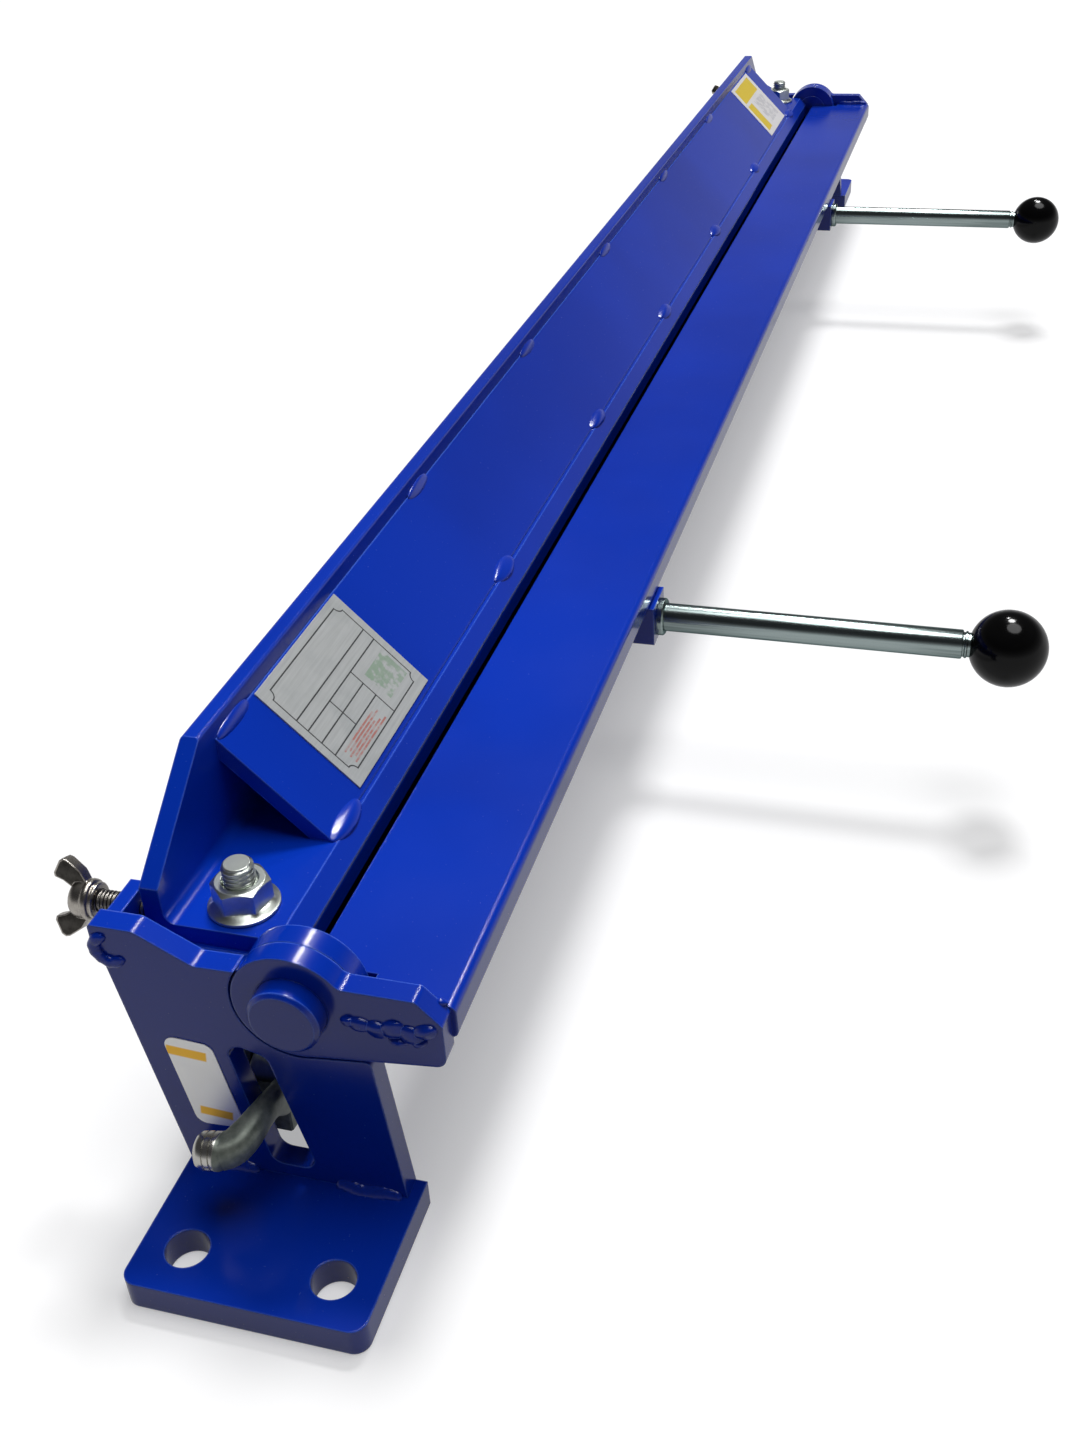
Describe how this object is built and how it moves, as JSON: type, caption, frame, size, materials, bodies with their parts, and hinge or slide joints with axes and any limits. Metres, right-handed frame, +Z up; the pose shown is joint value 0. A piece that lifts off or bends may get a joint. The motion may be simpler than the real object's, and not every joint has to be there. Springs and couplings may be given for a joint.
{
  "type": "manual sheet metal brake",
  "caption": "Bench-top folding brake: bed between end plates, hinged folding leaf with ball-ended handles, angle clamp beam held by cam-lever studs.",
  "frame": {"origin": "midway between the four bench holes, on the underside of the feet", "axes": "+X along the bend line, +Y towards the back, away from the operator, +Z up"},
  "size_m": [0.99, 0.2353, 0.108],
  "materials": {
    "blue_paint": "gloss enamel",
    "zinc_steel": "bright zinc plate",
    "black_knob": "gloss",
    "dark_steel": "burnished",
    "cast_lever": "satin grey-green",
    "plate_metal": "brushed",
    "label_film": "film"
  },
  "bodies": {
    "frame": {"bed_angle": "blue_paint", "side_label": "label_film", "left_end_plate": "blue_paint", "right_end_plate": "blue_paint", "left_foot_plate": "blue_paint", "right_foot_plate": "blue_paint", "left_hinge_lug": "blue_paint", "right_hinge_lug": "blue_paint", "left_hinge_pin": "blue_paint", "right_hinge_pin": "blue_paint", "left_thrust_sleeve": "zinc_steel", "right_thrust_sleeve": "zinc_steel", "left_adjuster_lug": "blue_paint", "right_adjuster_lug": "blue_paint", "left_frame_welds": "blue_paint", "right_frame_welds": "blue_paint"},
    "leaf": {"leaf_bar": "blue_paint", "left_leaf_arm": "blue_paint", "right_leaf_arm": "blue_paint", "left_leaf_weld": "blue_paint", "right_leaf_weld": "blue_paint", "left_handle_block": "blue_paint", "right_handle_block": "blue_paint", "left_handle_rod": "zinc_steel", "right_handle_rod": "zinc_steel", "left_handle_knob": "black_knob", "right_handle_knob": "black_knob"},
    "clamp_studs": {"left_clamp_stud": "zinc_steel", "right_clamp_stud": "zinc_steel", "left_cam_pin": "zinc_steel", "right_cam_pin": "zinc_steel", "left_clamp_nut": "zinc_steel", "right_clamp_nut": "zinc_steel"},
    "beam": {"clamp_beam": "blue_paint", "brace_plate": "blue_paint", "brace_stitches": "blue_paint", "rating_plate": "plate_metal", "beam_label": "label_film"},
    "left_lever": {"left_clamp_lever": "cast_lever"},
    "right_lever": {"right_clamp_lever": "cast_lever"},
    "left_adjuster": {"left_wing_screw": "dark_steel"},
    "right_adjuster": {"right_wing_screw": "dark_steel"}
  },
  "joints": [
    {"name": "leaf_fold", "type": "hinge", "parent": "frame", "child": "leaf", "pos_m": [0, -0.0055, 0.067], "axis": [-1, 0, 0], "range_deg": [0, 100]},
    {"name": "clamp_lift", "type": "slide", "parent": "frame", "child": "clamp_studs", "axis": [0, 0, 1], "range_m": [0, 0.00135]},
    {"name": "beam_setback", "type": "slide", "parent": "clamp_studs", "child": "beam", "axis": [0, 1, 0], "range_m": [0, 0.0025]},
    {"name": "left_lever_swing", "type": "hinge", "parent": "clamp_studs", "child": "left_lever", "pos_m": [-0.4325, 0.0155, 0.0188], "axis": [0, 1, 0], "range_deg": [0, 16]},
    {"name": "right_lever_swing", "type": "hinge", "parent": "clamp_studs", "child": "right_lever", "pos_m": [0.4325, 0.0155, 0.0188], "axis": [0, -1, 0], "range_deg": [0, 16]},
    {"name": "left_screw_feed", "type": "slide", "parent": "frame", "child": "left_adjuster", "axis": [0, 1, 0], "range_m": [0, 0.0025]},
    {"name": "right_screw_feed", "type": "slide", "parent": "frame", "child": "right_adjuster", "axis": [0, 1, 0], "range_m": [0, 0.0025]}
  ],
  "couplings": [
    {"joint": "right_lever_swing", "follows": "left_lever_swing", "ratio": 1},
    {"joint": "clamp_lift", "follows": "left_lever_swing", "m_per_rad": 0.00481},
    {"joint": "left_screw_feed", "follows": "beam_setback", "ratio": 1},
    {"joint": "right_screw_feed", "follows": "beam_setback", "ratio": 1}
  ]
}
